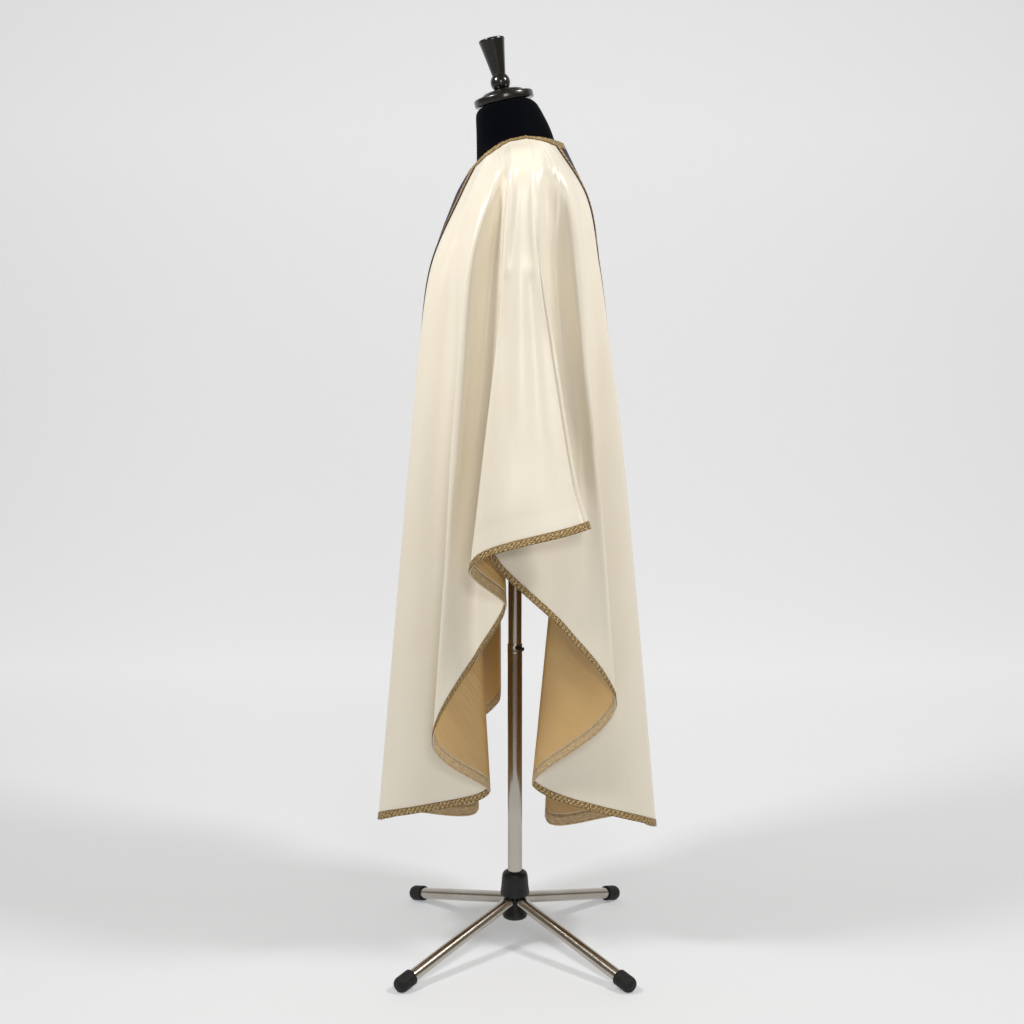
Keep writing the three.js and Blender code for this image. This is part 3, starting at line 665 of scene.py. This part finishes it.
orphreys = {}
for side, centre in PANEL_MIDDLES.items():
    widths = np.linspace(-ORPHREY_HALF, ORPHREY_HALF, ORPHREY_COLUMNS + 1)
    lines, downs = strip_grid(centre, widths)
    outer = sheet_points(lines, downs, SEAM_GAP + ORPHREY)
    inner = sheet_points(lines, downs, SEAM_GAP)
    orphreys[side] = wall(f"{side}_silk_orphrey", outer, inner, *cloth_places(outer))
    settle(orphreys[side], silk, "form", [f"{side}_orphrey"])

# ------------------------------------------------------------------ gold braid
# Woven gold galloon, 14 mm wide with a cord along each edge, is sewn along both edges of
# each orphrey, round the neck and round the whole hem.
BRAID = 1.2
# shares of the width and of the thickness, from one edge of the braid to the other
BRAID_SECTION = (
    (0, 0.45), (0.05, 0.95), (0.1, 1.0), (0.17, 0.6), (0.34, 0.75), (0.5, 1.0),
    (0.66, 0.75), (0.83, 0.6), (0.9, 1.0), (0.95, 0.95), (1, 0.45),
)
BRAID_ACROSS, braid_heights = np.array(BRAID_SECTION).T
BRAID_THICK = BRAID * braid_heights
ZIGZAG = 0.0085                             # metres along the braid from one point to the next

galloon = Finish("gold galloon", {"Specular IOR Level": 0.6, "Metallic": 0.35})
braid_run, braid_side = galloon.split(galloon.cloth())[:2]
slant = braid_side.maths("PINGPONG", braid_side, BRAID_WIDTH * MM / 4)
zigzag = braid_run.maths("SINE", (braid_run + slant) * (2 * math.pi / ZIGZAG)) * 0.5 + 0.5
from_middle = braid_side.maths("ABSOLUTE", braid_side * (2 / (BRAID_WIDTH * MM)) - 1)
dark_edge = from_middle.maths("SMOOTH_MAX", from_middle * 5 - 4, 0, 0.3)
speck = galloon.noise(galloon.cloth(), 420, 2, 0.8)
thread = zigzag * 0.25 + speck * 2.2 - 0.85 - dark_edge * 0.3
galloon.give(
    Base_Color=galloon.start.node("ShaderNodeValToRGB", {"stops": (
        (0.1, rgba(92, 69, 36)), (0.42, rgba(168, 136, 80)), (0.78, rgba(246, 230, 188)))},
        {"Fac": thread}),
    Roughness=0.55 - thread * 0.25,
)
galloon.raise_by(thread, 0.0009, 0.9)


def braid_faces(lines, downs, low, thick):
    """The two faces of a length of galloon that lies on a grid of places."""
    return sheet_points(lines, downs, low + thick), sheet_points(lines, downs, low)


braids = {"front": [], "back": []}
for side, centre in PANEL_MIDDLES.items():
    for hand, sign in (("left", 1), ("right", -1)):
        toward = sign if side == "front" else -sign
        widths = ORPHREY_HALF - BRAID_WIDTH + BRAID_WIDTH * BRAID_ACROSS
        lines, downs = strip_grid(centre, sorted(toward * widths))
        outer, inner = braid_faces(lines, downs, 2 * SEAM_GAP + ORPHREY, BRAID_THICK[None, :])
        across, along = cloth_places(outer)
        braid = wall(f"{side}_galloon_{hand}", outer, inner, along, across)
        settle(braid, galloon, "form", [f"{side}_braid_{hand}"])
        braids[side].append(braid)

for side, lines in PANEL_LINES.items():
    tops = down_at_distance(lines, 1, BRAID_WIDTH)
    downs = tops[None, :] + (1 - tops[None, :]) * BRAID_ACROSS[:, None]
    outer, inner = braid_faces(lines[None, :], downs, SEAM_GAP, BRAID_THICK[:, None])
    part_seams(outer)
    part_seams(inner)
    braid = wall(f"{side}_hem_galloon", outer, inner, *cloth_places(outer))
    settle(braid, galloon, "form", [f"{side}_hem_braid"])
    braids[side].append(braid)

neck_lines = np.concatenate([FRONT_LINES, BACK_LINES[1:-1]])
bottoms = down_at_distance(neck_lines, 0, BRAID_WIDTH)
downs = bottoms[None, :] * BRAID_ACROSS[:, None]
outer, inner = braid_faces(neck_lines[None, :], downs, SEAM_GAP, BRAID_THICK[:, None])
neck_braid = wall("neck_galloon", outer, inner, *cloth_places(outer), closed=True)
settle(neck_braid, galloon, "form", ["neck_braid"])
braids["front"].append(neck_braid)

# ------------------------------------------------------------------ torso
# The limbless dress form: a moulded body with a high neck, covered all over with a
# close-fitting navy-black jersey that has a seam down the middle of the front and back.
TORSO_SEAM_WIDTH, TORSO_SEAM_DEPTH = 0.0016, 0.0006

jersey = Finish("form jersey", {
    "Sheen Weight": 0.02, "Sheen Roughness": 0.5, "Specular IOR Level": 0.05})
jersey_knit = jersey.noise(jersey.space(), 900, 2, 0.6, (1, 1, 0.5))
jersey_tone = jersey.noise(jersey.space(), 12, 3)
jersey.give(
    Base_Color=jersey.blend(
        jersey_tone * 0.6 + jersey_knit * 0.4, rgba(1, 4, 9), rgba(5, 11, 20)),
    Roughness=jersey_knit * 0.15 + 0.75,
)
jersey.raise_by(jersey_knit, 0.0003, 0.5)


def take(piece):
    """Makes one piece the only one that operators act on."""
    bpy.ops.object.select_all(action="DESELECT")
    piece.select_set(True)
    bpy.context.view_layer.objects.active = piece


torso = bpy.data.objects.new("form_body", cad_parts["torso"].data.copy())
bpy.context.collection.objects.link(torso)
torso.data.materials.clear()
take(torso)
bpy.ops.object.mode_set(mode="EDIT")
bpy.ops.mesh.select_all(action="SELECT")
bpy.ops.mesh.remove_doubles(threshold=0.00005)
bpy.ops.mesh.tris_convert_to_quads(
    face_threshold=math.radians(60), shape_threshold=math.radians(60))
bpy.ops.object.mode_set(mode="OBJECT")
rounding = torso.modifiers.new("rounding", "SUBSURF")
rounding.levels = rounding.render_levels = 2
bpy.ops.object.modifier_apply(modifier="rounding")
for vertex in torso.data.vertices:
    beside = abs(vertex.co.x - POLE[0] * MM) / TORSO_SEAM_WIDTH
    outwards = 1 if vertex.co.y > 0 else -1
    vertex.co.y -= outwards * TORSO_SEAM_DEPTH * math.exp(-beside ** 2)
bpy.ops.object.shade_smooth_by_angle(angle=math.radians(40))
settle(torso, jersey, "form", ["torso"])

# ------------------------------------------------------------------ neck cap and finial
# A turned wooden cap closes the neck and carries a turned finial: a ball, and a cone that
# widens to a flat top. Both are lacquered black and lean forwards with the neck.
LEAN = math.radians(12)
NECK_TOP = (0, -19, 1594)
ROUND_SIDES = 64
SHARP_ANGLE = math.radians(35)
# pairs of radius and height, from the bottom up
CAP_PROFILE = (
    (52.6, 0), (54, 0.5), (54.6, 2), (54.6, 10.4), (54.1, 12.3), (52.8, 13.6), (51, 14.1),
    (42, 14.3), (40.6, 14.7), (39.6, 16), (37.8, 18.6), (33.5, 21), (27, 22.8), (20, 23.7),
    (14, 24),
)
BALL_MIDDLE, BALL_RADIUS = 37.3, 18
BALL_TURNS = [math.radians(turn) for turn in range(-45, 46, 9)]
FINIAL_PROFILE = (
    (13, 24.3),
    *((BALL_RADIUS * math.cos(turn), BALL_MIDDLE + BALL_RADIUS * math.sin(turn))
      for turn in BALL_TURNS),
    (12.2, 51.2), (12.6, 52.6), (14.2, 62), (19.3, 90), (22.6, 107.5), (23.6, 111.5),
    (23.9, 113.4), (23.4, 115.2), (21.8, 116.4), (19.6, 116.9), (18.8, 116.4),
)

lacquer = Finish("black lacquer", {
    "Coat Weight": 0.5, "Coat Roughness": 0.1, "Specular IOR Level": 0.5})
lacquer_grain = lacquer.noise(lacquer.space(), 220, 4, 0.6, (1, 1, 0.12))
lacquer_tone = lacquer.noise(lacquer.space(), 40, 3)
lacquer.give(
    Base_Color=lacquer.blend(
        lacquer_grain * 0.5 + lacquer_tone * 0.5, rgba(7, 7, 7), rgba(27, 25, 23)),
    Roughness=lacquer_grain * 0.16 + 0.2,
)
lacquer.raise_by(lacquer_grain, 0.0003, 0.3)


def turned(name, profile, sides=ROUND_SIDES, bore=False):
    """A round piece on the axis of the pole, drawn ring by ring from radius and height.

    With a bore, the profile runs up the outside and down the inside, back to its start.
    """
    (radius, height), rest = profile[0], profile[1:]
    middle = POLE * MM
    bpy.ops.object.select_all(action="DESELECT")
    bpy.ops.mesh.primitive_circle_add(
        vertices=sides, radius=radius * MM, fill_type="NOTHING" if bore else "NGON",
        location=(middle[0], middle[1], height * MM))
    piece = bpy.context.object
    piece.name = name
    bpy.ops.object.mode_set(mode="EDIT")
    bpy.ops.mesh.select_all(action="SELECT")
    for wide, high in rest:
        lift = (high - height) * MM
        bpy.ops.mesh.extrude_region_move(TRANSFORM_OT_translate={"value": (0, 0, lift)})
        bpy.ops.transform.resize(
            value=(wide / radius, wide / radius, 1),
            center_override=(middle[0], middle[1], high * MM))
        radius, height = wide, high
    bpy.ops.mesh.select_all(action="SELECT")
    bpy.ops.mesh.remove_doubles(threshold=0.00001)
    bpy.ops.mesh.normals_make_consistent(inside=False)
    bpy.ops.object.mode_set(mode="OBJECT")
    place_in_mesh(piece)
    return piece


def place_in_mesh(piece):
    """Puts a piece's place and turn into its mesh, with smooth shading between its edges."""
    take(piece)
    bpy.ops.object.transform_apply(location=True, rotation=True, scale=True)
    bpy.ops.object.shade_smooth_by_angle(angle=SHARP_ANGLE)


def lean_forwards(piece):
    """Leans a piece that was turned at the foot of the pole, and lifts it onto the neck."""
    piece.data.transform(Matrix.Translation(Vector(-POLE * MM)))
    piece.rotation_euler = (LEAN, 0, 0)
    piece.location = (np.array(NECK_TOP) + POLE) * MM
    place_in_mesh(piece)


for name, node, profile in (
    ("turned_cap", "neck_cap", CAP_PROFILE),
    ("turned_finial", "finial", FINIAL_PROFILE),
):
    piece = turned(name, profile)
    lean_forwards(piece)
    settle(piece, lacquer, "form", [node])

# ------------------------------------------------------------------ pole
# A flange under the torso takes a steel tube, which slides in a wider one. A collar with a
# spring button and a small locking screw holds it at its height.
FLANGE_PROFILE = ((39.6, 869.7), (41.2, 870.1), (42, 871.4), (42, 875.7))
FLANGE_SCREWS, FLANGE_SCREW_OUT = 4, 31
SCREW_PROFILE, SCREW_SIDES = ((4.2, 869.6), (4.2, 869), (3.6, 868), (2.4, 867.3), (1.1, 867.1)), 24
UPPER_PROFILE = ((12.2, 300), (12.7, 300.6), (12.7, 869.4))
LOWER_PROFILE = ((13, 144.3), (13.9, 144.3), (13.9, 573), (13.6, 574), (13, 574), (13, 144.3))
COLLAR_PROFILE = (
    (13, 574.3), (14.05, 574.3), (14.3, 575), (14.3, 576.6), (14.05, 577.2), (14.05, 587.4),
    (14.3, 588), (14.3, 589.4), (13.9, 590.3), (13, 590.3), (13, 574.3),
)

steel = Finish("polished steel", {"Metallic": 1.0, "Specular IOR Level": 0.5})
steel_brush = steel.noise(steel.space(), 260, 3, 0.5, (1, 1, 0.03))
steel_tone = steel.noise(steel.space(), 14, 2)
steel.give(
    Base_Color=steel.blend(
        steel_tone * 0.6 + steel_brush * 0.4, rgba(158, 150, 138), rgba(208, 204, 196)),
    Roughness=steel_brush * 0.12 + 0.16,
)
plastic = Finish("black plastic", {"Specular IOR Level": 0.45})
plastic_grain = plastic.noise(plastic.space(), 700, 3, 0.6)
plastic_wear = plastic.noise(plastic.space(), 35, 4, 0.6)
plastic.give(
    Base_Color=plastic.blend(plastic_wear, rgba(13, 15, 17), rgba(33, 35, 37)),
    Roughness=plastic_wear * 0.2 + 0.38,
)
plastic.raise_by(plastic_grain, 0.0002, 0.4)

for name, node, profile, bore, finish, body, slot in (
    ("form_flange", "base_flange", FLANGE_PROFILE, False, lacquer, "form", "black_lacquer"),
    ("sliding_tube", "upper_tube", UPPER_PROFILE, False, steel, "form", "steel"),
    ("standing_tube", "lower_tube", LOWER_PROFILE, True, steel, "stand", "steel"),
    ("pole_collar", "tube_collar", COLLAR_PROFILE, True, steel, "stand", "steel"),
):
    settle(turned(name, profile, bore=bore), finish, body, [node])

screws = [turned("flange_screw_1", SCREW_PROFILE, sides=SCREW_SIDES)]
for count in range(2, FLANGE_SCREWS + 1):
    screw = bpy.data.objects.new(f"flange_screw_{count}", screws[0].data.copy())
    bpy.context.collection.objects.link(screw)
    screws.append(screw)
for count, screw in enumerate(screws):
    turn = 2 * math.pi * (count + 0.5) / FLANGE_SCREWS
    screw.data.transform(Matrix.Translation(
        Vector((math.cos(turn), math.sin(turn), 0)) * FLANGE_SCREW_OUT * MM))
    settle(screw, steel, "form", [])

# turn is in degrees from the wearer's left to the back; the rest is in millimetres
STUD_COLUMNS = ("name", "node", "turn", "half_width", "half_height", "out", "height")
# shares of a stud's radius and of how far it stands out
STUD_PROFILE, STUD_SIDES = ((1, 0), (1, 0.5), (0.93, 0.75), (0.8, 0.92), (0.6, 1)), 40
COLLAR_RADIUS = 14.4
for row in (
    ("spring_button", "snap_button", 24, 6.5, 4.2, 1.6, 585),
    ("locking_screw", "lock_screw", 84, 3.6, 3.6, 3.2, 580),
):
    stud = dict(zip(STUD_COLUMNS, row))
    profile = [(radius, stud["out"] * out) for radius, out in STUD_PROFILE]
    piece = turned(stud["name"], profile, sides=STUD_SIDES)
    turn = math.radians(stud["turn"])
    piece.data.transform(Matrix.Translation(Vector(-POLE * MM)))
    piece.scale = (stud["half_height"], stud["half_width"], 1)
    piece.rotation_euler = (0, math.pi / 2, turn)
    on_collar = (COLLAR_RADIUS * math.cos(turn), COLLAR_RADIUS * math.sin(turn), stud["height"])
    piece.location = (POLE + on_collar) * MM
    place_in_mesh(piece)
    settle(piece, plastic, "stand", [stud["node"]])

# ------------------------------------------------------------------ hub, legs and feet
# A moulded black hub holds the lower end of the pole. Four polished tubes splay out from
# under its skirt, and each stands in a rubber foot that is worn flat on the floor.
HUB_PROFILE = (
    (15, 50), (20.5, 50.8), (23, 52.8), (23.8, 55.4), (23.2, 58.6), (21, 62.6), (17.6, 66.8),
    (14.4, 71.4), (12.4, 76), (11.6, 80), (11.5, 96.6), (26.2, 97), (27.6, 97.8), (28.1, 99.6),
    (27.9, 103), (26.6, 112), (25.4, 126), (24.9, 133), (24.1, 137.6), (22, 141.4),
    (19, 143.6), (16.6, 143.8), (15.2, 142.8), (14.4, 140.6),
)
LEG_RADIUS, LEG_EDGE, LEG_SIDES = 11.3, 0.6, 40
LEG_HUB_HEIGHT, LEG_HUB_REACH = 85.7, 18.8  # where the middle of a leg meets the hub
FOOT_X, FOOT_Y, FOOT_HEIGHT = 230, 201, 15.2
FOOT_ON_LEG = 21                            # length of the leg that a foot covers
# pairs of radius and distance along the leg, from the foot's upper edge
FOOT_PROFILE = (
    (12.2, -0.2), (14, -0.2), (14.7, 0.5), (15, 2), (15, 12), (14.4, 12.8), (14.4, 14.2),
    (15, 15), (15, 26.4), (14.6, 29.6), (13.4, 32.8), (11.4, 35.6), (8.4, 37.4), (4.6, 38),
)

rubber = Finish("black rubber", {"Specular IOR Level": 0.35})
rubber_grain = rubber.noise(rubber.space(), 500, 3, 0.6)
rubber_dust = rubber.noise(rubber.space(), 60, 4, 0.6)
rubber.give(
    Base_Color=rubber.blend(rubber_dust, rgba(14, 15, 17), rgba(40, 41, 42)),
    Roughness=rubber_dust * 0.2 + 0.55,
)
rubber.raise_by(rubber_grain, 0.0003, 0.5)

settle(turned("moulded_hub", HUB_PROFILE), plastic, "stand", ["hub"])


def point_along(piece, start, end):
    """Lays a piece that was turned upright at the foot of the pole along a line from start."""
    piece.data.transform(Matrix.Translation(Vector(-POLE * MM)))
    piece.rotation_mode = "QUATERNION"
    piece.rotation_quaternion = Vector(end - start).to_track_quat("Z", "Y")
    piece.location = (start + POLE) * MM
    place_in_mesh(piece)


for place, left, back in (
    ("front_left", 1, -1), ("back_left", 1, 1), ("back_right", -1, 1), ("front_right", -1, -1),
):
    foot_point = np.array((left * FOOT_X, back * FOOT_Y, FOOT_HEIGHT))
    reach = LEG_HUB_REACH / math.hypot(FOOT_X, FOOT_Y)
    hub_point = np.array((foot_point[0] * reach, foot_point[1] * reach, LEG_HUB_HEIGHT))
    foot_start = np.linalg.norm(foot_point - hub_point) - FOOT_ON_LEG
    leg_end = foot_start + FOOT_ON_LEG
    leg_profile = ((LEG_RADIUS - LEG_EDGE, 0), (LEG_RADIUS, LEG_EDGE), (LEG_RADIUS, leg_end))
    leg = turned(f"tube_leg_{place}", leg_profile, sides=LEG_SIDES)
    point_along(leg, hub_point, foot_point)
    settle(leg, steel, "stand", [f"leg_{place}"])
    foot_profile = [(radius, foot_start + along) for radius, along in FOOT_PROFILE]
    foot = turned(f"rubber_foot_{place}", foot_profile, sides=LEG_SIDES)
    point_along(foot, hub_point, foot_point)
    for vertex in foot.data.vertices:
        vertex.co.z = max(vertex.co.z, 0)
    settle(foot, rubber, "stand", [f"foot_{place}"])

# ------------------------------------------------------------------ studio
# A pale floor that runs up into a pale wall, soft light from large panels, and the camera.
FLOOR_SHADE_START, FLOOR_SHADE_FADE = 0.1, 0.45         # painted shade: the paper is painted darker on the floor, where the lamps light it more, and lighter towards the wall
SWEEP_BACK, SWEEP_RADIUS, SWEEP_HALF, SWEEP_FRONT, SWEEP_TOP = -2.4, 2.0, 9, 7, 7   # metres

# painted light: the paper glows with its own colour, though it is no lamp, and this softens the
# shadows on it
backdrop = Finish("studio paper", {
    "Roughness": 0.9, "Specular IOR Level": 0.1, "Emission Strength": 0.45})
paper_depth = backdrop.split(backdrop.space())[0]
out_of_floor_shade = paper_depth.maths("MINIMUM", paper_depth * -FLOOR_SHADE_FADE - FLOOR_SHADE_START, 1)
out_of_floor_shade = out_of_floor_shade.maths("MAXIMUM", out_of_floor_shade, 0)
paper_shade_and_glow = backdrop.blend(out_of_floor_shade, rgba(199, 201, 204), rgba(229, 231, 235))
backdrop.give(Base_Color=paper_shade_and_glow, Emission_Color=paper_shade_and_glow)

sweep_turns = [math.radians(turn) for turn in range(0, 91, 6)]
sweep_section = [(SWEEP_FRONT, 0)] + [
    (SWEEP_BACK - SWEEP_RADIUS * math.sin(turn), SWEEP_RADIUS * (1 - math.cos(turn)))
    for turn in sweep_turns
] + [(SWEEP_BACK - SWEEP_RADIUS, SWEEP_TOP)]
sweep_points = [(x, y, z) for x, z in sweep_section for y in (-SWEEP_HALF, SWEEP_HALF)]
sweep_faces = [(2 * i, 2 * i + 1, 2 * i + 3, 2 * i + 2) for i in range(len(sweep_section) - 1)]
sweep_mesh = bpy.data.meshes.new("studio_floor")
sweep_mesh.from_pydata(sweep_points, [], sweep_faces)
sweep = bpy.data.objects.new("studio_floor", sweep_mesh)
bpy.context.collection.objects.link(sweep)
sweep_mesh.polygons.foreach_set("use_smooth", [True] * len(sweep_mesh.polygons))
sweep_mesh.materials.append(backdrop.material)

world = bpy.data.worlds.new("studio air")
bpy.context.scene.world = world
world.use_nodes = True
air = world.node_tree.nodes["Background"]
air.inputs["Color"].default_value = rgba(246, 230, 202)
air.inputs["Strength"].default_value = 0.2

WARM_WHITE = (1, 0.988, 0.968)
LIGHT_COLUMNS = ("name", "place", "target", "size", "power")
for row in (
    ("front", (0.9, -1.5, 2.65), (0, 0, 1.45), 0.45, 38),
    ("back", (0.8, 1.9, 3.0), (0, 0, 1.4), 0.5, 49),
    ("side", (2.9, 0.4, 2.0), (0, 0, 1.35), 0.7, 15.5),
):
    light_row = dict(zip(LIGHT_COLUMNS, row))
    light = bpy.data.lights.new(light_row["name"], "AREA")
    light.energy, light.size, light.color = light_row["power"], light_row["size"], WARM_WHITE
    lamp = bpy.data.objects.new(light_row["name"], light)
    bpy.context.collection.objects.link(lamp)
    lamp.location = light_row["place"]
    away = np.array(light_row["place"]) - np.array(light_row["target"])
    tilt = math.atan2(math.hypot(away[0], away[1]), away[2])
    lamp.rotation_euler = (tilt, 0, math.atan2(away[1], away[0]) + math.pi / 2)

CAMERA_PLACE, CAMERA_DOWN = (3.0767, -0.0086, 1.2255), 7.1   # metres, and degrees below level
camera_data = bpy.data.cameras.new("camera")
camera_data.lens, camera_data.sensor_width = 58, 36
camera = bpy.data.objects.new("camera", camera_data)
bpy.context.collection.objects.link(camera)
camera.location = CAMERA_PLACE
camera.rotation_euler = (math.radians(90 - CAMERA_DOWN), 0, math.radians(90))
bpy.context.scene.camera = camera
bpy.context.scene.view_settings.view_transform = "Standard"
